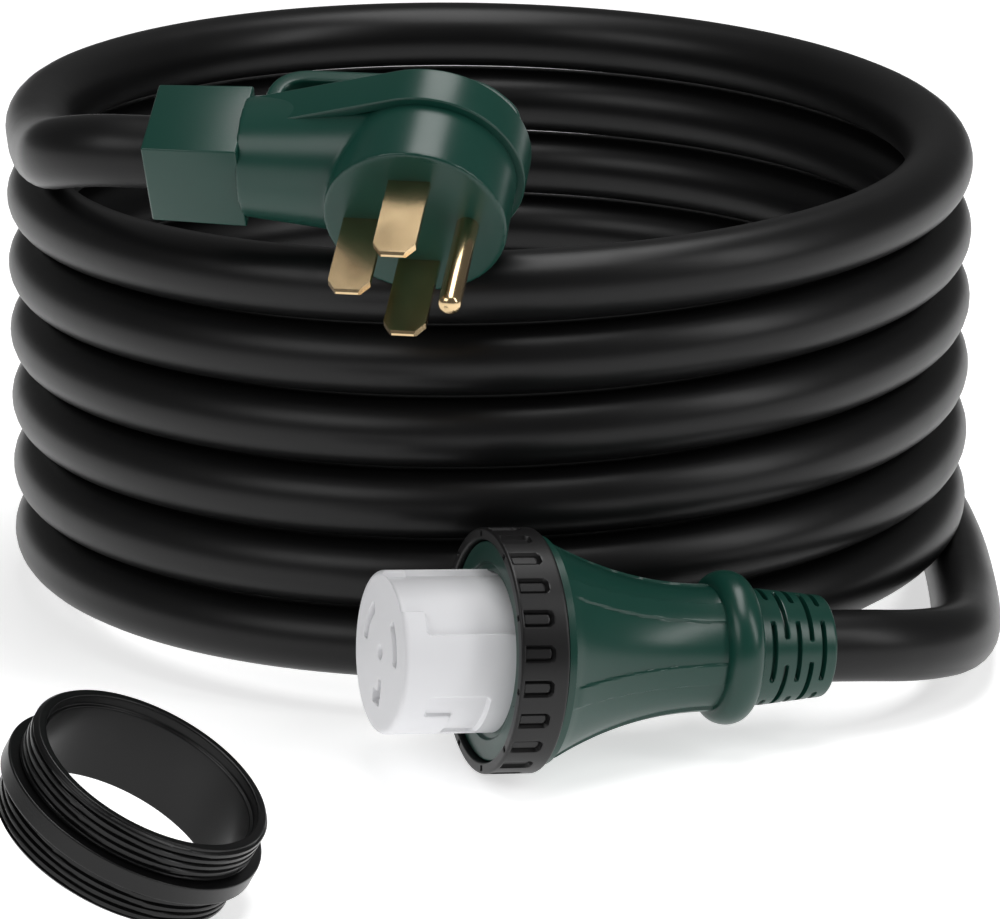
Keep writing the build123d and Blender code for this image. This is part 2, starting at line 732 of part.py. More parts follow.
boxes = [solid.bounding_box() for solid in parts.values()]
low_x = min(box.min.X for box in boxes)
high_x = max(box.max.X for box in boxes)
low_y = min(box.min.Y for box in boxes)
high_y = max(box.max.Y for box in boxes)
low_z = min(box.min.Z for box in boxes)
shift = Vector(-(low_x + high_x) / 2, -(low_y + high_y) / 2, -low_z)
print("shift to the origin", [round(value, 3) for value in shift])

os.makedirs("parts", exist_ok=True)
for name, solid in parts.items():
    export_step(Pos(*shift) * solid, "parts/" + name + ".step")
print(len(parts), "nodes")
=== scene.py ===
"""A shore power cord: coiled cable, right-angle plug, locking connector and a loose adapter ring.

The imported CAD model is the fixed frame. This script dresses it: it replaces the plain CAD
solids that show with finished meshes, lays the cable as one smooth curve, and gives every
piece a procedural finish. Lengths are in metres.
"""

import json
import logging
from dataclasses import dataclass, field
from enum import Enum
from math import acos, atan2, ceil, cos, hypot, pi, radians, sin
from typing import Callable, Iterable, Optional, Sequence

import bmesh
import bpy
from mathutils import Matrix, Vector


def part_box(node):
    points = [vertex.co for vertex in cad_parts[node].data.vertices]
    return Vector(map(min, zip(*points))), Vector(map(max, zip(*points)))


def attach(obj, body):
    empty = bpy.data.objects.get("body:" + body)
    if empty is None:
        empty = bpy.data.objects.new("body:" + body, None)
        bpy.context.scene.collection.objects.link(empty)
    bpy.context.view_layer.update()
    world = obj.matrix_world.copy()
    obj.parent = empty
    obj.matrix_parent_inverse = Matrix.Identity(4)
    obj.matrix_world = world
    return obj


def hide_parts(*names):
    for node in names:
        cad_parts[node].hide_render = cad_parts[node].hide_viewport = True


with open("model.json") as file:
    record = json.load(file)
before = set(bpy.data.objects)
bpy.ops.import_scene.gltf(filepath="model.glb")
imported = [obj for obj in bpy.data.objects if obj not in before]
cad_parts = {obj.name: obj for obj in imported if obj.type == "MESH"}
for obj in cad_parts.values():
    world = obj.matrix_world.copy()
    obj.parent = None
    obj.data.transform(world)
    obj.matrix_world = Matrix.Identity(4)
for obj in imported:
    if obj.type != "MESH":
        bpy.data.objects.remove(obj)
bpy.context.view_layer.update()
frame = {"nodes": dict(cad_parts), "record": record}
RECORD = frame["record"]

LOG = logging.getLogger("shore_power_cord")

Point = tuple[float, float]
Shape = Callable[[float, float, float], Point]


# --- Places ------------------------------------------------------------------------


@dataclass(frozen=True)
class Stand:
    """Where a sub-assembly stands in the row frame.

    Attributes:
        origin: The point its own zero lies at.
        ahead: Its X direction.
        up: Its Z direction.
    """

    origin: Vector
    ahead: Vector
    up: Vector

    def matrix(self) -> Matrix:
        """The matrix that carries the sub-assembly's own points into the row frame."""
        side = self.up.cross(self.ahead)
        turn = Matrix((self.ahead, side, self.up)).transposed().to_4x4()
        return Matrix.Translation(self.origin) @ turn

    def point(self, x: float, y: float, z: float) -> Vector:
        """A point given in the sub-assembly's own directions."""
        return self.matrix() @ Vector((x, y, z))


def mount(name: str) -> tuple[Vector, Vector]:
    """The position and the unit axis of one of the record's mounts.

    Args:
        name: The mount's name.

    Returns:
        The mount's point and its axis, both in the row frame.
    """
    found = next(m for m in RECORD["mounts"] if m["name"] == name)
    return Vector(found["pos_m"]), Vector(found["axis"]).normalized()


def box_centre(node: str) -> Vector:
    """The middle of a CAD node's box."""
    low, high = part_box(node)
    return (low + high) / 2


# --- Shader maths ------------------------------------------------------------------


MIX_LOW = 6                        # a Mix node's sockets when it mixes colours
MIX_HIGH = 7
MIX_COLOUR = 2


class Value:
    """A shader socket that takes part in Python expressions.

    Attributes:
        book: The material book that adds the nodes.
        socket: The output socket that carries the value.
    """

    def __init__(self, book: "Book", socket: bpy.types.NodeSocket) -> None:
        """Wraps one output socket."""
        self.book = book
        self.socket = socket

    def _math(self, operation: str, left: object, right: object) -> "Value":
        """Adds one Math node and returns its output."""
        return self.book.add("ShaderNodeMath", {"operation": operation}, {0: left, 1: right})

    def __add__(self, other: object) -> "Value":
        """self + other."""
        return self._math("ADD", self, other)

    __radd__ = __add__

    def __mul__(self, other: object) -> "Value":
        """self * other."""
        return self._math("MULTIPLY", self, other)

    __rmul__ = __mul__


class Book:
    """Builds one material's nodes."""

    def __init__(self, name: str) -> None:
        """Starts a material with an empty node tree.

        Args:
            name: The material's name.
        """
        self.material = bpy.data.materials.new(name)
        self.material.use_nodes = True
        self.tree = self.material.node_tree
        self.tree.nodes.clear()

    def add(self, kind: str, settings: dict, inputs: dict, out: object = 0) -> Value:
        """Adds any node.

        Args:
            kind: The node's type.
            settings: Properties, or a ramp's stops under "stops", set before the sockets.
            inputs: Values or links of its sockets, by name or number.
            out: The output that is returned, by name or number.

        Returns:
            The wrapped output, which holds nothing where the node has none.
        """
        node = self.tree.nodes.new(kind)
        for key, value in settings.items():
            if key == "stops":
                self._set_stops(node.color_ramp, value)
            else:
                setattr(node, key, value)
        for key, value in inputs.items():
            if isinstance(value, Value):
                self.tree.links.new(value.socket, node.inputs[key])
            else:
                node.inputs[key].default_value = value
        return Value(self, node.outputs[out] if len(node.outputs) else None)

    @staticmethod
    def _set_stops(ramp: bpy.types.ColorRamp, stops: Sequence[tuple[float, float]]) -> None:
        """Sets a ramp's grey stops from (position, brightness) pairs."""
        while len(ramp.elements) < len(stops):
            ramp.elements.new(0.5)
        for element, (position, level) in zip(ramp.elements, stops):
            element.position = position
            element.color = (level, level, level, 1.0)

    def place(self) -> Value:
        """Object coordinates, which are the row frame's metres on every piece."""
        return self.add("ShaderNodeTexCoord", {}, {}, "Object")

    def stretch(self, scale: Sequence[float]) -> Value:
        """Object coordinates with a scale of their own on each axis."""
        return self.add("ShaderNodeMapping", {}, {"Vector": self.place(), "Scale": tuple(scale)})

    def noise(self, size: float, detail: float = 3.0, where: Optional[Value] = None) -> Value:
        """Noise whose features are about size metres across, from 0 to 1."""
        place = self.place() if where is None else where
        return self.add("ShaderNodeTexNoise", {},
                        {"Vector": place, "Scale": 1.0 / size, "Detail": detail}, "Fac")

    def mix(self, factor: Value, low: Sequence[float], high: Sequence[float]) -> Value:
        """A colour between two, by a factor."""
        inputs = {"Factor": factor, MIX_LOW: (*low, 1.0), MIX_HIGH: (*high, 1.0)}
        return self.add("ShaderNodeMix", {"data_type": "RGBA"}, inputs, MIX_COLOUR)

    def bump(self, height: Value, distance: float) -> Value:
        """A normal bent by a height that stands for distance metres."""
        return self.add("ShaderNodeBump", {}, {"Height": height, "Distance": distance})

    def close(self, inputs: dict) -> bpy.types.Material:
        """Adds the main shader and returns the finished material."""
        shader = self.add("ShaderNodeBsdfPrincipled", {}, inputs)
        self.add("ShaderNodeOutputMaterial", {}, {"Surface": shader})
        return self.material


# --- Finishes ----------------------------------------------------------------------


@dataclass(frozen=True)
class Moulded:
    """A moulded plastic or rubber with a fine grain.

    Attributes:
        name: The finish's name.
        dark: The colour in its darker patches, linear.
        light: The colour in its lighter patches, linear.
        rough: The roughness of its smoother patches.
        rough_spread: How much rougher the duller patches are.
        grain: The size of the grain, in metres.
        grain_depth: The depth of the grain, in metres.
        patch: The size of the colour patches, in metres.
        specular: The strength of the reflection.
    """

    name: str
    dark: tuple[float, float, float]
    light: tuple[float, float, float]
    rough: float = 0.38
    rough_spread: float = 0.08
    grain: float = 0.0006
    grain_depth: float = 0.00002
    patch: float = 0.03
    specular: float = 0.5

    def make(self) -> bpy.types.Material:
        """Builds the material."""
        book = Book(self.name)
        patch = book.noise(self.patch, 2.0)
        grain = book.noise(self.grain, 2.0)
        scuff = book.noise(self.patch * 0.23, 5.0, book.stretch((1.0, 1.0, 3.0)))
        rough = self.rough + self.rough_spread * (0.6 * patch + 0.4 * scuff)
        return book.close({
            "Base Color": book.mix(patch, self.dark, self.light),
            "Roughness": rough,
            "Normal": book.bump(grain, self.grain_depth),
            "Specular IOR Level": self.specular,
        })


@dataclass(frozen=True)
class Jacket(Moulded):
    """The cable's rubber jacket: satin, with faint drag lines and dusty patches."""

    def make(self) -> bpy.types.Material:
        """Builds the material."""
        book = Book(self.name)
        patch = book.noise(self.patch, 3.0)
        dust = book.add("ShaderNodeValToRGB", {"stops": ((0.55, 0.0), (0.8, 1.0))},
                        {"Fac": book.noise(self.patch * 0.35, 6.0)}, "Color")
        grain = book.noise(self.grain, 2.0)
        lines = book.noise(0.0011, 2.0, book.stretch((0.06, 0.06, 1.0)))
        height = 0.55 * grain + 0.45 * lines
        rough = self.rough + self.rough_spread * patch + 0.04 * dust
        return book.close({
            "Base Color": book.mix(patch, self.dark, self.light),
            "Roughness": rough,
            "Normal": book.bump(height, self.grain_depth),
            "Specular IOR Level": self.specular,
        })


@dataclass(frozen=True)
class Metal:
    """Bright plated or bare metal with a drawn grain.

    Attributes:
        name: The finish's name.
        dark: The colour of its tarnished patches, linear.
        light: The colour of its clean metal, linear.
        rough: The roughness of the clean metal.
        along: The direction of the drawn grain, as stretch factors on X, Y and Z.
    """

    name: str
    dark: tuple[float, float, float]
    light: tuple[float, float, float]
    rough: float = 0.16
    along: tuple[float, float, float] = (1.0, 1.0, 1.0)

    def make(self) -> bpy.types.Material:
        """Builds the material."""
        book = Book(self.name)
        patch = book.noise(0.012, 4.0)
        grain = book.noise(0.0004, 3.0, book.stretch(self.along))
        return book.close({
            "Base Color": book.mix(patch, self.dark, self.light),
            "Roughness": self.rough + 0.09 * patch + 0.05 * grain,
            "Metallic": 1.0,
            "Normal": book.bump(grain, 0.000006),
        })


class Finish(Enum):
    """Every finish on the object."""

    JACKET = Jacket("jacket_rubber", (0.0030, 0.0030, 0.0031), (0.0048, 0.0048, 0.0050), rough=0.32,
                    rough_spread=0.10, grain=0.0007, grain_depth=0.00003, patch=0.05, specular=0.26)
    GREEN = Moulded("green_nylon", (0.0045, 0.0360, 0.0260), (0.0055, 0.0430, 0.0310), rough=0.25,
                    specular=0.38)
    RING = Moulded("ring_nylon", (0.0060, 0.0058, 0.0060), (0.0090, 0.0086, 0.0090), rough=0.32,
                   rough_spread=0.10, specular=0.3)
    ADAPTER = Moulded("adapter_nylon", (0.0022, 0.0022, 0.0024), (0.0036, 0.0036, 0.0038), rough=0.26,
                      rough_spread=0.10, grain=0.0009, patch=0.02, specular=0.3)
    WHITE = Moulded("white_thermoset", (0.72, 0.72, 0.74), (0.76, 0.76, 0.78), rough=0.36)
    GASKET = Moulded("gasket_elastomer", (0.012, 0.012, 0.012), (0.018, 0.018, 0.018), rough=0.6)
    INNER = Moulded("inner_nylon", (0.02, 0.02, 0.02), (0.028, 0.028, 0.028), rough=0.5)
    BRASS = Metal("brass_plating", (0.58, 0.42, 0.23), (0.74, 0.56, 0.33), rough=0.13,
                  along=(1.0, 1.0, 0.1))
    STEEL = Metal("zinc_plating", (0.45, 0.45, 0.46), (0.62, 0.62, 0.64), rough=0.28)
    CORE_BLACK = Moulded("black_core_jacket", (0.015, 0.015, 0.015), (0.022, 0.022, 0.022))
    CORE_RED = Moulded("red_core_jacket", (0.36, 0.015, 0.012), (0.44, 0.02, 0.016))
    CORE_WHITE = Moulded("white_core_jacket", (0.70, 0.70, 0.69), (0.78, 0.78, 0.77))
    CORE_GREEN = Moulded("green_core_jacket", (0.01, 0.18, 0.04), (0.015, 0.24, 0.06))

    def material(self) -> bpy.types.Material:
        """The finish's material, built once."""
        found = bpy.data.materials.get(self.value.name)
        return found or self.value.make()


SLOT_FINISH = {
    "cable_rubber": Finish.JACKET,
    "moulded_green": Finish.GREEN,
    "ring_black": Finish.RING,
    "adapter_black": Finish.ADAPTER,
    "insert_white": Finish.WHITE,
    "gasket_rubber": Finish.GASKET,
    "brass": Finish.BRASS,
    "steel": Finish.STEEL,
    "core_black": Finish.CORE_BLACK,
    "core_red": Finish.CORE_RED,
    "core_white": Finish.CORE_WHITE,
    "core_green": Finish.CORE_GREEN,
    "inner_black": Finish.INNER,
}


# --- Mesh tools --------------------------------------------------------------------


SAME_PLACE = 1e-6                  # points nearer than this are one point, in metres
NEARLY_STRAIGHT = 0.05             # a corner that turns less than this isn't rounded, in radians


def smooth_step(low: float, high: float, value: float) -> float:
    """0 below low, 1 above high, and a smooth ramp between."""
    share = min(max((value - low) / (high - low), 0.0), 1.0)
    return share * share * (3.0 - 2.0 * share)


def angle_gap(angle: float, centre: float) -> float:
    """The signed angle from centre to angle, between -pi and pi."""
    return (angle - centre + pi) % (2 * pi) - pi


def slab(x: float, y: float, half_x: float, half_y: float, corner: float = 0.0) -> float:
    """Signed distance to a rectangle with rounded corners; negative inside."""
    dx = abs(x) - half_x + corner
    dy = abs(y) - half_y + corner
    return hypot(max(dx, 0.0), max(dy, 0.0)) + min(max(dx, dy), 0.0) - corner


def corner_curve(before: Vector, here: Vector, after: Vector, reach: float,
                 steps: int) -> list[Vector]:
    """The points of the smooth curve that takes a corner's place.

    Args:
        before: The corner before it.
        here: The corner.
        after: The corner after it.
        reach: How far from the corner the curve starts and ends.
        steps: The number of runs along the curve.

    Returns:
        The curve's points.
    """
    start = here + (before - here).normalized() * reach
    end = here + (after - here).normalized() * reach
    made = []
    for step in range(steps + 1):
        share = step / steps
        made.append(start * (1 - share) ** 2 + here * 2 * share * (1 - share) + end * share ** 2)
    return made


def rounded(outline: Sequence[Point], radius: float, steps: int = 4) -> list[Point]:
    """Rounds the corners of a closed outline.

    Args:
        outline: The corners in order.
        radius: How far the rounding starts from each corner, at most.
        steps: The number of new edges at each corner.

    Returns:
        The new outline.
    """
    made: list[Point] = []
    for index, corner in enumerate(outline):
        here = Vector(corner)
        before = Vector(outline[index - 1])
        after = Vector(outline[(index + 1) % len(outline)])
        to_before = before - here
        to_after = after - here
        on_axis = corner[1] <= SAME_PLACE
        straight = abs(to_before.angle(to_after) - pi) < NEARLY_STRAIGHT
        if on_axis or straight:
            made.append(corner)
            continue
        reach = min(radius, 0.45 * to_before.length, 0.45 * to_after.length)
        made += [tuple(spot) for spot in corner_curve(before, here, after, reach, steps)]
    return made


def dense(outline: Sequence[Point], gap: float) -> list[Point]:
    """Adds points so that no step along a closed outline is longer than gap."""
    made: list[Point] = []
    for index, corner in enumerate(outline):
        a = Vector(corner)
        b = Vector(outline[(index + 1) % len(outline)])
        pieces = max(1, ceil((b - a).length / gap - 1e-6))
        for step in range(pieces):
            spot = a.lerp(b, step / pieces)
            made.append((spot.x, spot.y))
    return made


def new_object(name: str, verts: Iterable, faces: Iterable, place: Matrix) -> bpy.types.Object:
    """Makes a smooth-shaded mesh object from points in a sub-assembly's own directions.

    Args:
        name: The piece's name.
        verts: The points.
        faces: The faces, as point numbers.
        place: The matrix into the row frame.

    Returns:
        The new object, at the row frame's origin.
    """
    mesh = bpy.data.meshes.new(name)
    mesh.from_pydata([tuple(v) for v in verts], [], [tuple(f) for f in faces])
    tidy = bmesh.new()
    tidy.from_mesh(mesh)
    bmesh.ops.remove_doubles(tidy, verts=tidy.verts, dist=SAME_PLACE)
    bmesh.ops.recalc_face_normals(tidy, faces=tidy.faces)
    tidy.to_mesh(mesh)
    tidy.free()
    mesh.transform(place)
    piece = bpy.data.objects.new(name, mesh)
    bpy.context.scene.collection.objects.link(piece)
    shade(piece)
    return piece


def shade(piece: bpy.types.Object, sharp: float = 35.0) -> None:
    """Shades a mesh smooth, with edges over a given angle in degrees kept sharp."""
    piece.data.polygons.foreach_set("use_smooth", [True] * len(piece.data.polygons))
    piece.data.set_sharp_from_angle(angle=radians(sharp))


def lathe(name: str, outline: Sequence[Point], segments: int, place: Matrix,
          shape: Optional[Shape] = None) -> bpy.types.Object:
    """Turns a closed outline about X.

    Args:
        name: The piece's name.
        outline: The closed outline, as (station, radius) points.
        segments: The number of steps round the axis.
        place: The matrix into the row frame.
        shape: Moves a point, given its station, radius and angle from the side direction.

    Returns:
        The new object.
    """
    verts = []
    count = len(outline)
    for step in range(segments):
        angle = 2 * pi * step / segments
        for x, r in outline:
            if shape is not None and r > SAME_PLACE:
                x, r = shape(x, r, angle)
            verts.append((x, r * cos(angle), r * sin(angle)))
    faces = []
    for step in range(segments):
        ahead = (step + 1) % segments
        for index in range(count):
            after = (index + 1) % count
            faces.append((step * count + index, step * count + after,
                          ahead * count + after, ahead * count + index))
    return new_object(name, verts, faces, place)


def sweep(name: str, path: Sequence[Vector], section: Sequence[Point], place: Matrix,
          up: Vector) -> bpy.types.Object:
    """Carries a closed section along a path.

    Args:
        name: The piece's name.
        path: The points of the path.
        section: The section, as (across, up) points.
        place: The matrix into the row frame.
        up: The direction that the section's second axis keeps.

    Returns:
        The new object.
    """
    verts = []
    last = len(path) - 1
    for index, spot in enumerate(path):
        before = path[max(index - 1, 0)]
        after = path[min(index + 1, last)]
        heading = (after - before).normalized()
        across = heading.cross(up).normalized()
        turn = across.cross(heading).normalized()
        for a, b in section:
            verts.append(spot + across * a + turn * b)
    count = len(section)
    faces = []
    for index in range(last):
        ahead = index + 1
        for step in range(count):
            after = (step + 1) % count
            faces.append((index * count + step, index * count + after,
                          ahead * count + after, ahead * count + step))
    faces.append(tuple(range(count)))
    faces.append(tuple(last * count + step for step in reversed(range(count))))
    return new_object(name, verts, faces, place)


def arc_path(corners: Sequence[Vector], radius: float, steps: int = 10) -> list[Vector]:
    """A path along straight runs whose corners are rounded.

    Args:
        corners: The path's corners.
        radius: How far from each inner corner its rounding starts, at most.
        steps: The number of new runs at each corner.

    Returns:
        The points of the path.
    """
    made = [corners[0]]
    for before, here, after in zip(corners, corners[1:], corners[2:]):
        reach = min(radius, 0.49 * (before - here).length, 0.49 * (after - here).length)
        made += corner_curve(before, here, after, reach, steps)
    made.append(corners[-1])
    return made


def plate_section(width: float, height: float, corner: float) -> list[Point]:
    """The outline of a strip's section, with rounded edges, about its middle."""
    half_w = width / 2
    half_h = height / 2
    corners = [Vector((-half_w, -half_h)), Vector((half_w, -half_h)),
               Vector((half_w, half_h)), Vector((-half_w, half_h))]
    made: list[Point] = []
    for index, here in enumerate(corners):
        after = corners[(index + 1) % len(corners)]
        made += [tuple(spot) for spot in corner_curve(corners[index - 1], here, after, corner, 4)]
    return made


def apply_modifiers(piece: bpy.types.Object) -> None:
    """Replaces a piece's mesh by what its modifiers make of it."""
    graph = bpy.context.evaluated_depsgraph_get()
    made = bpy.data.meshes.new_from_object(piece.evaluated_get(graph))
    piece.modifiers.clear()
    piece.data = made


def dress(piece: bpy.types.Object, finish: Finish, body: str,
          nodes: Sequence[str]) -> bpy.types.Object:
    """Gives a piece its finish, its body and the CAD nodes that it stands for.

    Args:
        piece: The piece.
        finish: Its finish.
        body: The CAD body that it rides on.
        nodes: The CAD nodes that it replaces.

    Returns:
        The same piece.
    """
    piece.data.materials.clear()
    piece.data.materials.append(finish.material())
    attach(piece, body)
    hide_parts(*nodes)
    LOG.info("made %s on %s", piece.name, body)
    return piece


# --- The cable ---------------------------------------------------------------------


@dataclass
class Cable:
    """The free cable: a lead from the plug, the coil and a lead to the connector.

    Attributes:
        diameter: The jacket's outside.
        jacket_swell: How far the faceted jacket stands out, so that the turns close up.
        coil_radius: The turns' centre line.
        start_angle: Where the plug's lead leaves the coil, in degrees.
        end_angle: Where the connector's lead leaves it, in degrees.
        full_turns: The whole turns between the two, besides the part turn.
        top: The height of the cable's centre at the coil's top end.
        per_turn: The points on each turn.
        length: The real length between the two fittings.
        plug_straight: The short straight run into the plug.
        boot_straight: The straight run into the connector.
        top_straight: The run with which the plug's lead leaves the coil.
        top_rise: How far that run climbs.
        low_straight: The run with which the connector's lead leaves the coil.
    """

    diameter: float = 0.026
    jacket_swell: float = 0.00015
    coil_radius: float = 0.1746
    start_angle: float = 186.0
    end_angle: float = 66.0
    full_turns: int = 6
    top: float = 0.1846
    per_turn: int = 24
    length: float = 7.56
    plug_straight: float = 0.0105
    boot_straight: float = 0.018
    top_straight: float = 0.032
    top_rise: float = 0.0026
    low_straight: float = 0.052

    @property
    def turns(self) -> float:
        """All the turns, the part turn among them."""
        return self.full_turns + (self.start_angle - self.end_angle) / 360

    def coil_point(self, centre: Vector, turned: float) -> Vector:
        """A control point of the turns.

        Args:
            centre: A point on the coil's axis.
            turned: The turns below the top end.

        Returns:
            The control point, a little outside the turn that the curve then makes.
        """
        low = self.diameter / 2
        outside = self.coil_radius / (0.75 + 0.25 * cos(2 * pi / self.per_turn))
        angle = radians(self.start_angle - 360 * turned)
        height = self.top + (low - self.top) * turned / self.turns
        return Vector((centre.x + outside * cos(angle), centre.y + outside * sin(angle), height))

    def route(self, centre: Vector, plug: Stand, connector: Stand) -> list[Vector]:
        """The control points of the whole cable, from the plug to the connector."""
        start = radians(self.start_angle)
        end = radians(self.end_angle)
        ground = self.diameter / 2
        top_end = Vector((centre.x + self.coil_radius * cos(start),
                          centre.y + self.coil_radius * sin(start), self.top))
        low_end = Vector((centre.x + self.coil_radius * cos(end),
                          centre.y + self.coil_radius * sin(end), ground))
        leaving_top = Vector((-sin(start), cos(start), 0))
        leaving_low = Vector((sin(end), -cos(end), 0))
        listed_top = (
            (-0.1398, -0.1597, 0.2108), (-0.1481, -0.1532, 0.2089), (-0.1545, -0.1449, 0.2064),
            (-0.1587, -0.1353, 0.2036), (-0.1617, -0.1175, 0.1990), (-0.1660, -0.0858, 0.1922),
        )
        listed_low = (
            (0.1560, 0.1010, ground), (0.1785, 0.0520, ground), (0.1826, -0.0050, ground),
            (0.1832, -0.0500, ground), (0.1819, -0.0950, 0.0145), (0.1790, -0.1300, 0.0182),
            (0.1742, -0.1495, 0.0213), (0.1652, -0.1653, 0.0248), (0.1526, -0.1786, 0.0284),
        )
        made = [plug.origin, plug.origin - plug.ahead * self.plug_straight]
        made += [centre + Vector(spot) for spot in listed_top]
        made.append(top_end + leaving_top * self.top_straight + Vector((0, 0, self.top_rise)))
        count = round(self.turns * self.per_turn)
        for index in range(count):
            made.append(self.coil_point(centre, (index + 0.5) * self.turns / count))
        made.append(low_end + leaving_low * self.low_straight)
        made += [centre + Vector(spot) for spot in listed_low]
        made += [connector.origin - connector.ahead * self.boot_straight, connector.origin]
        return made

    def build(self, plug: Stand, connector: Stand, pieces: Sequence[object]) -> bpy.types.Object:
        """Lays the cable as one smooth curve.

        Args:
            plug: Where the plug stands.
            connector: Where the connector stands.
            pieces: The pieces that the cable runs into; not used.

        Returns:
            The curve.
        """
        middle = box_centre("cable_coil")
        centre = Vector((middle.x, middle.y, 0))
        curve = bpy.data.curves.new("power_cable", "CURVE")
        curve.dimensions = "3D"
        spline = curve.splines.new("NURBS")
        points = self.route(centre, plug, connector)
        spline.points.add(len(points) - 1)
        for point, spot in zip(spline.points, points):
            point.co = (*spot, 1.0)
        spline.order_u = 3
        spline.use_endpoint_u = True
        spline.resolution_u = 6
        curve.bevel_depth = self.diameter / 2 + self.jacket_swell
        curve.bevel_resolution = 12
        piece = bpy.data.objects.new("power_cable", curve)
        bpy.context.scene.collection.objects.link(piece)
        dress(piece, Finish.JACKET, "root",
              ("cable_coil", "cable_lead_plug", "cable_lead_connector"))
        return piece


# --- The plug ----------------------------------------------------------------------


@dataclass
class Plug:
    """The right-angle plug: collar, neck and head, raised band, handle and blades.

    Attributes:
        collar_side: The collar's square section.
        collar_length: The collar's length.
        neck_radius: The neck's radius at the collar.
        neck_end_radius: Its radius at the head.
        neck_back: The flat behind the neck, from its axis.
        head_x: The head's axis, from the cable's end of the collar.
        head_radius: The head's radius.
        head_top: The head's back, from the neck's axis.
        face_drop: The face, from the neck's axis.
        rim_radius: The raised band's outside.
        rim_wall: Its thickness.
        rim_low: Its edge towards the face.
        rim_high: Its edge away from the face.
        handle_width: The handle strap's width.
        handle_thick: The strap's thickness.
        handle_height: The strap's outside, from the neck's axis.
        handle_bend: How far from its corners the strap starts to bend.
        collar_taper: How much narrower the collar is at the cable, each side.
        neck_swell: Stations along the neck and its radius at each.
        edge: The rounding of the head's and the band's edges.
        tuck: How far a piece runs into the one beside it.
        skin_cell: The cell size of the neck and head's joined skin.
    """

    collar_side: float = 0.036
    collar_length: float = 0.035
    neck_radius: float = 0.022
    neck_end_radius: float = 0.030
    neck_back: float = 0.016
    head_x: float = 0.100
    head_radius: float = 0.033
    head_top: float = 0.004
    face_drop: float = 0.031
    rim_radius: float = 0.0355
    rim_wall: float = 0.004
    rim_low: float = -0.0045
    rim_high: float = 0.0114
    handle_width: float = 0.018
    handle_thick: float = 0.006
    handle_height: float = 0.038
    handle_bend: float = 0.014
    collar_taper: float = 0.0006
    neck_swell: tuple[Point, ...] = ((0.060, 0.0243), (0.082, 0.0272))
    edge: float = 0.0008
    tuck: float = 0.001
    skin_cell: float = 0.0008
    stand: Stand = field(init=False)

    def __post_init__(self) -> None:
        """Reads where the plug stands from the record's blade and pin mounts."""
        face, pins = mount("power_blades")
        ground, _ = mount("ground_pin")
        up = -pins
        ahead = ground - face
        ahead = (ahead - up * ahead.dot(up)).normalized()
        origin = face + up * self.face_drop - ahead * self.head_x
        self.stand = Stand(origin, ahead, up)

    def build_collar(self) -> bpy.types.Object:
        """The square collar, a hair narrower at the cable, with crisp rounded edges."""
        half = self.collar_side / 2
        verts = []
        for x, size in ((0.0, half - self.collar_taper), (self.collar_length, half)):
            verts += [(x, -size, -size), (x, size, -size), (x, size, size), (x, -size, size)]
        faces = [(0, 3, 2, 1), (4, 5, 6, 7), (0, 1, 5, 4), (1, 2, 6, 5), (2, 3, 7, 6), (3, 0, 4, 7)]
        piece = new_object("plug_collar_block", verts, faces, self.stand.matrix())
        bevel = piece.modifiers.new("edges", "BEVEL")
        bevel.width = 0.0009
        bevel.segments = 3
        apply_modifiers(piece)
        shade(piece)
        return dress(piece, Finish.GREEN, "root", ("plug_collar",))

    def build_body(self) -> bpy.types.Object:
        """Neck and head in one smooth skin."""
        place = self.stand.matrix()
        start = self.collar_length - self.tuck
        neck_outline = [(start, 0.0), (start, self.neck_radius - 0.0004), *self.neck_swell,
                        (self.head_x, self.neck_end_radius), (self.head_x, 0.0)]

        def flat_back(x: float, r: float, angle: float) -> Point:
            """Cuts the neck's back to a flat."""
            if sin(angle) > 0 and r * sin(angle) > self.neck_back:
                return x, self.neck_back / sin(angle)
            return x, r

        neck = lathe("plug_neck", dense(neck_outline, 0.002), 96, place, flat_back)
        centre = self.stand.point(self.head_x, 0, 0)
        upright = Stand(centre, self.stand.up, -self.stand.ahead).matrix()
        low = -self.face_drop
        head_outline = [(low, 0.0), (low, self.head_radius),
                        (self.head_top, self.head_radius - self.edge), (self.head_top, 0.0)]
        head = lathe("plug_head", dense(rounded(head_outline, self.edge), 0.003), 128, upright)
        join = neck.modifiers.new("join", "BOOLEAN")
        join.operation = "UNION"
        join.solver = "EXACT"
        join.object = head
        apply_modifiers(neck)
        bpy.data.objects.remove(head)
        remesh = neck.modifiers.new("skin", "REMESH")
        remesh.mode = "VOXEL"
        remesh.voxel_size = self.skin_cell
        soften = neck.modifiers.new("soften", "SMOOTH")
        soften.factor = 0.5
        soften.iterations = 4
        apply_modifiers(neck)
        neck.name = "plug_shell"
        shade(neck, 60.0)
        return dress(neck, Finish.GREEN, "root", ("plug_body", "plug_face"))

    def build_rim(self) -> bpy.types.Object:
        """The raised band round the head and back to the collar on both sides."""
        radius = self.rim_radius - self.rim_wall / 2
        half = self.collar_side / 2 - self.rim_wall / 2
        start = Vector((self.collar_length - self.tuck, -half, 0))
        away = Vector((self.head_x, 0, 0)) - start
        first = acos(radius / away.length) + atan2(half, away.x) - pi
        path = [start]
        steps = 48
        for index in range(steps + 1):
            angle = first * (1 - 2 * index / steps)
            path.append(Vector((self.head_x + radius * cos(angle), radius * sin(angle), 0)))
        path.append(Vector((start.x, half, 0)))
        middle = (self.rim_low + self.rim_high) / 2
        path = [spot + Vector((0, 0, middle)) for spot in path]
        section = plate_section(self.rim_wall, self.rim_high - self.rim_low, self.edge)
        piece = sweep("plug_band", path, section, self.stand.matrix(), Vector((0, 0, 1)))
        return dress(piece, Finish.GREEN, "root", ("plug_rim_band",))

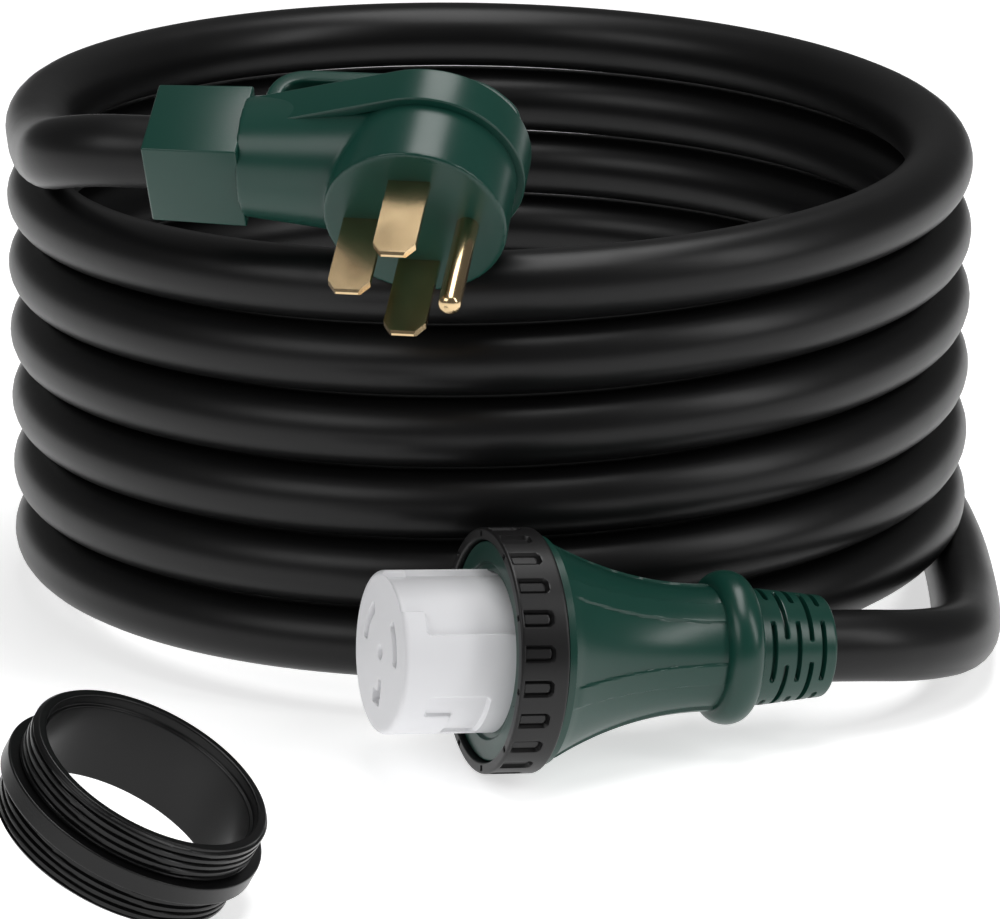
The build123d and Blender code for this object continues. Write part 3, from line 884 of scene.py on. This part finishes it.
    def build_handle(self) -> bpy.types.Object:
        """The arched strap behind the plug."""
        inset = self.handle_thick / 2
        near = self.collar_length + 2 * self.tuck + inset
        far = self.head_x + self.head_radius - self.tuck - inset
        high = self.handle_height - inset
        corners = [Vector((near, 0, 0.010)), Vector((near, 0, high)), Vector((far - 0.016, 0, high)),
                   Vector((far, 0, self.rim_high + 0.008)), Vector((far, 0, 0.004))]
        path = arc_path(corners, self.handle_bend)
        section = plate_section(self.handle_thick, self.handle_width, 0.0016)
        piece = sweep("plug_grip", path, section, self.stand.matrix(), Vector((0, 1, 0)))
        return dress(piece, Finish.GREEN, "root", ("plug_handle",))

    def build(self) -> list[bpy.types.Object]:
        """Builds the plug's own pieces."""
        return [self.build_collar(), self.build_body(), self.build_rim(), self.build_handle()]


# --- The connector -----------------------------------------------------------------


@dataclass
class Connector:
    """The locking connector: boot, bead, ribbed bell, flange, ring and white insert.

    Attributes:
        length: From the boot's cable end to the contact face.
        boot_length: The slotted strain relief.
        boot_end_radius: The boot's radius at the cable.
        boot_radius: Its radius at the bead.
        bead_x: The bead's station.
        bead_radius: The bead's radius.
        flange_start: Where the bell ends and the front flange starts.
        flange_end: The flange's front.
        flange_radius: The flange's radius inside the ring.
        ring_start: The ring's back.
        ring_end: The ring's front.
        ring_radius: The ring's radius.
        ring_bore: The ring's bore radius.
        grips: The finger recesses round the ring.
        insert_radius: The white insert's radius.
        cable_radius: The radius of the boot's bore.
        bell_start: Where the bell starts, in front of the bead.
        bell_neck: The bell's radius there.
        bell_mouth: Its radius at its mouth.
        bell_curve: How late the bell widens, as a power.
        bell_wall: The bell's wall.
        lip_radius: The radius of the lip round its mouth.
        lip_length: The lip's length.
        ribs: The long ribs round the bell.
        rib_half: Half a rib's width.
        rib_height: How far a rib stands up.
        slot_rings: The stations of the boot's rings of slots.
        slots: The slots in each ring.
        slot_depth: The depth of a slot.
        grip_length: The length of a finger recess.
        grip_half: Half its width.
        grip_depth: Its depth.
        ring_holes: The square holes in the ring's front.
        slot_radius: The circle of the insert's contact slots.
        contact_depth: The depth of the insert's slots.
    """

    length: float = 0.168
    boot_length: float = 0.032
    boot_end_radius: float = 0.0185
    boot_radius: float = 0.022
    bead_x: float = 0.037
    bead_radius: float = 0.028
    flange_start: float = 0.108
    flange_end: float = 0.128
    flange_radius: float = 0.0393
    ring_start: float = 0.112
    ring_end: float = 0.130
    ring_radius: float = 0.044
    ring_bore: float = 0.0398
    grips: int = 22
    insert_radius: float = 0.0292
    cable_radius: float = 0.0131
    bell_start: float = 0.043
    bell_neck: float = 0.0225
    bell_mouth: float = 0.0402
    bell_curve: float = 2.1
    bell_wall: float = 0.0035
    lip_radius: float = 0.0412
    lip_length: float = 0.003
    ribs: int = 6
    rib_half: float = 0.004
    rib_height: float = 0.0009
    slot_rings: tuple[float, ...] = (0.0055, 0.0105, 0.0155, 0.0205, 0.0255)
    slots: int = 4
    slot_depth: float = 0.0028
    grip_length: float = 0.0125
    grip_half: float = 0.0030
    grip_depth: float = 0.0019
    ring_holes: int = 10
    slot_radius: float = 0.0170
    contact_depth: float = 0.0050
    stand: Stand = field(init=False)

    def __post_init__(self) -> None:
        """Reads where the connector stands from the record's face mount."""
        face, ahead = mount("connector_face")
        level = Vector((-ahead.y, ahead.x, 0)).normalized()
        up = ahead.cross(level) * -1
        if up.z < 0:
            up = -up
        self.stand = Stand(face - ahead * self.length, ahead, up)

    def build_boot(self) -> bpy.types.Object:
        """The tapered strain relief with rings of staggered slots."""
        end = self.boot_length
        outline = [(0.0, self.cable_radius), (0.0, self.boot_end_radius), (end, self.boot_radius),
                   (end, self.cable_radius)]

        def slotted(x: float, r: float, angle: float) -> Point:
            """Sinks the slots into the outer wall."""
            wall = self.boot_end_radius - 0.0025
            if r < wall:
                return x, r
            depth = 0.0
            for ring, station in enumerate(self.slot_rings):
                for index in range(self.slots):
                    centre = radians((ring / 2 + index) * 360 / self.slots + 12)
                    away = angle_gap(angle, centre) * r
                    inside = -slab(x - station, away, 0.0009, 0.0115, 0.0008)
                    depth = max(depth, smooth_step(-0.0001, 0.0003, inside))
            return x, r - depth * self.slot_depth

        piece = lathe("strain_relief_sleeve", dense(rounded(outline, 0.0012), 0.0003), 288,
                      self.stand.matrix(), slotted)
        return dress(piece, Finish.GREEN, "root", ("strain_relief_boot",))

    def build_bead(self) -> bpy.types.Object:
        """The round swelling behind the bell."""
        outline = [(0.030, 0.0140), (0.030, self.boot_radius - 0.0008)]
        steps = 20
        for index in range(steps + 1):
            angle = pi * (1 - index / steps)
            outline.append((self.bead_x + 0.0068 * cos(angle),
                            0.0218 + (self.bead_radius - 0.0218) * sin(angle) ** 0.8))
        outline += [(0.050, 0.0215), (0.050, 0.0140)]
        piece = lathe("connector_collar_bead", outline, 128, self.stand.matrix())
        return dress(piece, Finish.GREEN, "root", ("connector_bead",))

    def bell_radius(self, x: float) -> float:
        """The bell's outer radius, a long concave sweep to the mouth."""
        share = (x - self.bell_start) / (self.flange_start - self.bell_start)
        return self.bell_neck + (self.bell_mouth - self.bell_neck) * share ** self.bell_curve

    def build_bell(self) -> bpy.types.Object:
        """The bell-shaped body with its long raised ribs and the lip at its mouth."""
        steps = 60
        start = self.bell_start
        outer = []
        for index in range(steps + 1):
            x = start + (self.flange_start - start) * index / steps
            outer.append((x, self.bell_radius(x)))
        outer += [(self.flange_start + 0.0004, self.lip_radius),
                  (self.flange_start + self.lip_length, self.lip_radius)]
        inner = [(x, r - self.bell_wall) for x, r in reversed(outer)]

        def ribbed(x: float, r: float, angle: float) -> Point:
            """Raises six ribs and sinks the panels between them."""
            if r < self.bell_radius(min(x, self.flange_start)) - self.bell_wall / 2:
                return x, r
            fade = smooth_step(self.flange_start, self.flange_start - 0.004, x)
            fade *= smooth_step(start - 0.001, start + 0.002, x)
            height = 0.0
            for index in range(self.ribs):
                centre = radians(-8 + 360 / self.ribs * index)
                away = abs(angle_gap(angle, centre)) * r
                rise = 1.0 - smooth_step(self.rib_half - 0.0003, self.rib_half + 0.0003, away)
                groove = 1.0 - smooth_step(0.0, 0.0006, abs(away - self.rib_half - 0.0007))
                height = max(height, rise) - 0.35 * groove * fade
            return x, r + fade * (self.rib_height * height - 0.0003)

        piece = lathe("connector_bell", outer + inner, 432, self.stand.matrix(), ribbed)
        return dress(piece, Finish.GREEN, "root", ("connector_body",))

    def build_flange(self) -> bpy.types.Object:
        """The green front disc inside the ring, with the insert's seat."""
        outline = [(self.flange_start, 0.0285), (self.flange_start, 0.0405),
                   (self.ring_start - 0.0006, 0.0405), (self.ring_start - 0.0006, self.flange_radius),
                   (self.flange_end, self.flange_radius), (self.flange_end, 0.0318),
                   (self.flange_end - 0.0012, 0.0312), (self.flange_end - 0.0012, 0.0285)]
        piece = lathe("connector_front_disc", rounded(outline, 0.0007), 192, self.stand.matrix())
        return dress(piece, Finish.GREEN, "root", ("connector_front_flange",))

    def build_ring(self) -> bpy.types.Object:
        """The locking ring: open-fronted finger recesses and square holes in its front."""
        outline = [(self.ring_start, self.ring_bore), (self.ring_start, self.ring_radius),
                   (self.ring_end, self.ring_radius), (self.ring_end, self.ring_bore)]
        outline = dense(rounded(outline, 0.0010), 0.0004)
        recess_end = self.ring_end - self.grip_length
        step = 2 * pi / self.grips
        hole_step = 2 * pi / self.ring_holes

        def gripped(x: float, r: float, angle: float) -> Point:
            """Sinks the finger recesses, open to the front, and the square holes."""
            away = ((angle + step / 2) % step - step / 2) * self.ring_radius
            if r > self.ring_radius - 0.0012:
                inside = -slab(x - (recess_end + 0.010), away, 0.010, self.grip_half, 0.0024)
                depth = smooth_step(-0.0002, 0.0005, inside)
                pad = smooth_step(0.0008, 0.0012, inside) * 0.45
                ends = smooth_step(self.ring_end - 0.0012, self.ring_end - 0.0022, x)
                return x, r - self.grip_depth * (depth - pad * depth) * ends
            if x > self.ring_end - 0.0002:
                across = ((angle + 0.35) % hole_step - hole_step / 2) * r
                middle = (self.ring_bore + self.ring_radius) / 2
                inside = -slab(r - middle, across, 0.0008, 0.0009)
                return x - 0.0025 * smooth_step(-0.0001, 0.0002, inside), r
            return x, r

        piece = lathe("twist_lock_ring", outline, self.grips * 32, self.stand.matrix(), gripped)
        return dress(piece, Finish.RING, "locking_ring", ("locking_ring",))

    def build_insert(self) -> bpy.types.Object:
        """The white contact insert: key, bayonet recess and contact slots in its face."""
        start = self.flange_end - 0.012
        radius = self.insert_radius
        outline = [(start, 0.0), (start, radius), (self.length, radius), (self.length, 0.0)]
        outline = dense(rounded(outline, 0.0022, 6), 0.00055)

        def detail(x: float, r: float, angle: float) -> Point:
            """Cuts the side's key and recess, and the face's slots and dimple."""
            if r > radius - 0.0030 and x < self.length - 0.0001:
                arc = angle_gap(angle, 0.0) * radius
                key = -slab(arc - radians(70) * radius, x - 0.141,
                            radians(40) * radius, 0.0185, 0.002)
                nose = -slab(arc - radians(74) * radius, x - 0.162,
                             radians(26) * radius, 0.012, 0.003)
                cut = 0.0024 * smooth_step(-0.0002, 0.0004, max(key, nose))
                long_leg = -slab(x - 0.1465, arc + radians(25) * radius, 0.0115, radians(9) * radius,
                                 0.002)
                short_leg = -slab(x - 0.1415, arc + radians(42) * radius, 0.0065,
                                  radians(20) * radius, 0.002)
                cut = max(cut, 0.0014 * smooth_step(-0.0002, 0.0005, max(long_leg, short_leg)))
                return x, r - cut
            if x > self.length - 0.0012 and r < radius - 0.0012:
                y = r * cos(angle)
                z = r * sin(angle)
                depth = 0.0
                for centre in (radians(27), radians(153)):
                    along = angle_gap(angle, centre) * self.slot_radius
                    inside = -slab(r - self.slot_radius, along, 0.0018, 0.0078, 0.0009)
                    depth = max(depth, self.contact_depth * smooth_step(-0.0003, 0.0005, inside))
                bar = -slab(y, z + 0.0165, 0.0036, 0.0022, 0.0006)
                foot = -slab(y - 0.0026, z + 0.0130, 0.0014, 0.0032, 0.0006)
                cut = smooth_step(-0.0003, 0.0005, max(bar, foot))
                depth = max(depth, self.contact_depth * cut)
                depth = max(depth, 0.0030 * smooth_step(0.0030, 0.0008, r))
                return x - depth, r
            return x, r

        piece = lathe("contact_insert", outline, 360, self.stand.matrix(), detail)
        return dress(piece, Finish.WHITE, "root", ("face_insert",))

    def build(self) -> list[bpy.types.Object]:
        """Builds the connector's own pieces."""
        return [self.build_boot(), self.build_bead(), self.build_bell(), self.build_flange(),
                self.build_ring(), self.build_insert()]


# --- The adapter ring --------------------------------------------------------------


@dataclass
class AdapterRing:
    """The loose adapter ring: a middle flange with a thread on each side.

    Attributes:
        flange_radius: The flange's radius.
        flange_thick: The flange's thickness.
        thread_radius: The threads' crest.
        thread_length: Each thread's length.
        thread_pitch: The distance between crests.
        thread_depth: The depth of the thread.
        bore_radius: The bore.
        step: How much wider the mouth is.
        step_depth: How deep the wider mouth is.
    """

    flange_radius: float = 0.047
    flange_thick: float = 0.007
    thread_radius: float = 0.0434
    thread_length: float = 0.013
    thread_pitch: float = 0.0026
    thread_depth: float = 0.0011
    bore_radius: float = 0.038
    step: float = 0.0012
    step_depth: float = 0.004
    stand: Stand = field(init=False)

    def __post_init__(self) -> None:
        """Reads where the ring stands from the record's bore mount."""
        spot, ahead = mount("adapter_bore")
        level = Vector((-ahead.y, ahead.x, 0)).normalized()
        middle = box_centre("threaded_adapter_ring")
        centre = spot + ahead * (middle - spot).dot(ahead)
        self.stand = Stand(centre, ahead, level)

    def build(self) -> bpy.types.Object:
        """Builds the ring with a real helical thread."""
        half = self.flange_thick / 2
        end = half + self.thread_length
        root = self.thread_radius - self.thread_depth
        outer = [(-end, root), (-half, root), (-half, self.flange_radius),
                 (half, self.flange_radius), (half, root), (end, root)]
        mouth = self.bore_radius + self.step
        inner = [(end, mouth), (end - self.step_depth, mouth),
                 (end - self.step_depth, self.bore_radius), (-end, self.bore_radius)]
        outline = dense(rounded(outer + inner, 0.0006), 0.0003)

        def threaded(x: float, r: float, angle: float) -> Point:
            """Raises the thread on the two outer walls."""
            if r < root - 0.0002 or r > root + 0.0004 or abs(x) < half + 0.0002:
                return x, r
            phase = ((x / self.thread_pitch) + angle / (2 * pi)) % 1.0
            crest = smooth_step(0.06, 0.26, phase) * smooth_step(0.94, 0.74, phase)
            run_in = smooth_step(end, end - 0.0016, abs(x)) * smooth_step(half, half + 0.0010, abs(x))
            return x, r + self.thread_depth * crest * run_in

        piece = lathe("adapter_collar_ring", outline, 256, self.stand.matrix(), threaded)
        return dress(piece, Finish.ADAPTER, "adapter_ring", ("threaded_adapter_ring",))


# --- Studio ------------------------------------------------------------------------


@dataclass
class Studio:
    """The pale floor, the soft lights and the camera.

    Attributes:
        tilt: The camera's angle below level, in degrees.
        distance: From the camera to the point it looks at.
        lens: The focal length, in millimetres.
        aim_right: How far right of the coil's axis it looks.
        aim_height: How high it looks.
        floor_glow: The floor's own light, which keeps it near white.
        air: The strength of the light from all round.
        floor_half: Half the floor's width.
        lit_height: The height that the lights point at.
        softboxes: Each light's name, place, size and power in watts.
    """

    tilt: float = 17.09
    distance: float = 2.264
    lens: float = 205.85
    aim_right: float = 0.004
    aim_height: float = 0.045
    floor_glow: float = 0.62
    air: float = 0.12
    floor_half: float = 6.0
    lit_height: float = 0.08
    softboxes: tuple = (
        ("key_softbox", (-1.4, -1.4, 1.5), (1.4, 1.0), 13),
        ("top_softbox", (0.2, 0.1, 1.9), (1.8, 0.8), 24),
        ("right_strip", (1.6, -0.7, 1.2), (0.4, 1.4), 12),
    )

    def build_floor(self) -> None:
        """A wide, nearly white floor."""
        half = self.floor_half
        verts = [(-half, -half, 0), (half, -half, 0), (half, half, 0), (-half, half, 0)]
        floor_piece = new_object("studio_floor", verts, [(0, 1, 2, 3)], Matrix.Identity(4))
        book = Book("floor_paper")
        tone = book.noise(0.8, 2.0)
        floor_piece.data.materials.append(book.close({
            "Base Color": book.mix(tone, (0.86, 0.86, 0.86), (0.88, 0.88, 0.88)),
            "Roughness": 0.6 + 0.05 * tone,
            "Specular IOR Level": 0.0,
            "Emission Color": (1.0, 1.0, 1.0, 1.0),
            "Emission Strength": self.floor_glow,
        }))

    def add_light(self, name: str, spot: Sequence[float], aim: Vector, size: Point,
                  power: float) -> None:
        """Adds one soft box.

        Args:
            name: The light's name.
            spot: Where it stands.
            aim: What it points at.
            size: Its width and height.
            power: Its power, in watts.
        """
        lamp = bpy.data.lights.new(name, "AREA")
        lamp.shape = "RECTANGLE"
        lamp.size, lamp.size_y = size
        lamp.energy = power
        holder = bpy.data.objects.new(name, lamp)
        holder.location = spot
        holder.rotation_euler = (aim - Vector(spot)).to_track_quat("-Z", "Y").to_euler()
        bpy.context.scene.collection.objects.link(holder)

    def build(self) -> None:
        """Builds the floor, the lights, the world and the camera."""
        self.build_floor()
        middle = box_centre("cable_coil")
        aim = Vector((middle.x, middle.y, self.lit_height))
        for name, spot, size, power in self.softboxes:
            self.add_light(name, spot, aim, size, power)
        world = bpy.data.worlds.new("studio_air")
        world.use_nodes = True
        background = world.node_tree.nodes["Background"].inputs
        background["Color"].default_value = (1, 1, 1, 1)
        background["Strength"].default_value = self.air
        bpy.context.scene.world = world
        bpy.context.scene.view_settings.view_transform = "Standard"
        camera = bpy.data.cameras.new("camera")
        camera.lens = self.lens
        camera.sensor_width = 36.0
        camera.clip_end = 50.0
        holder = bpy.data.objects.new("camera", camera)
        target = Vector((middle.x + self.aim_right, middle.y, self.aim_height))
        tilt = radians(self.tilt)
        holder.location = target + Vector((0, -cos(tilt), sin(tilt))) * self.distance
        holder.rotation_euler = (pi / 2 - tilt, 0, 0)
        bpy.context.scene.collection.objects.link(holder)
        bpy.context.scene.camera = holder


# --- The whole object --------------------------------------------------------------


def dress_cad_nodes() -> None:
    """Gives each CAD node the finish of its material slot."""
    slots = {entry["node"]: entry["material_slot"] for entry in RECORD["subparts"]}
    for name, node in frame["nodes"].items():
        node.data.materials.clear()
        node.data.materials.append(SLOT_FINISH[slots[name]].material())


def main() -> None:
    """Builds the object and its studio."""
    logging.basicConfig(level=logging.INFO, format="%(name)s: %(message)s")
    dress_cad_nodes()
    plug = Plug()
    connector = Connector()
    plug_pieces = plug.build()
    connector_pieces = connector.build()
    AdapterRing().build()
    Cable().build(plug.stand, connector.stand, plug_pieces + connector_pieces)
    Studio().build()


if __name__ == "__main__":
    main()
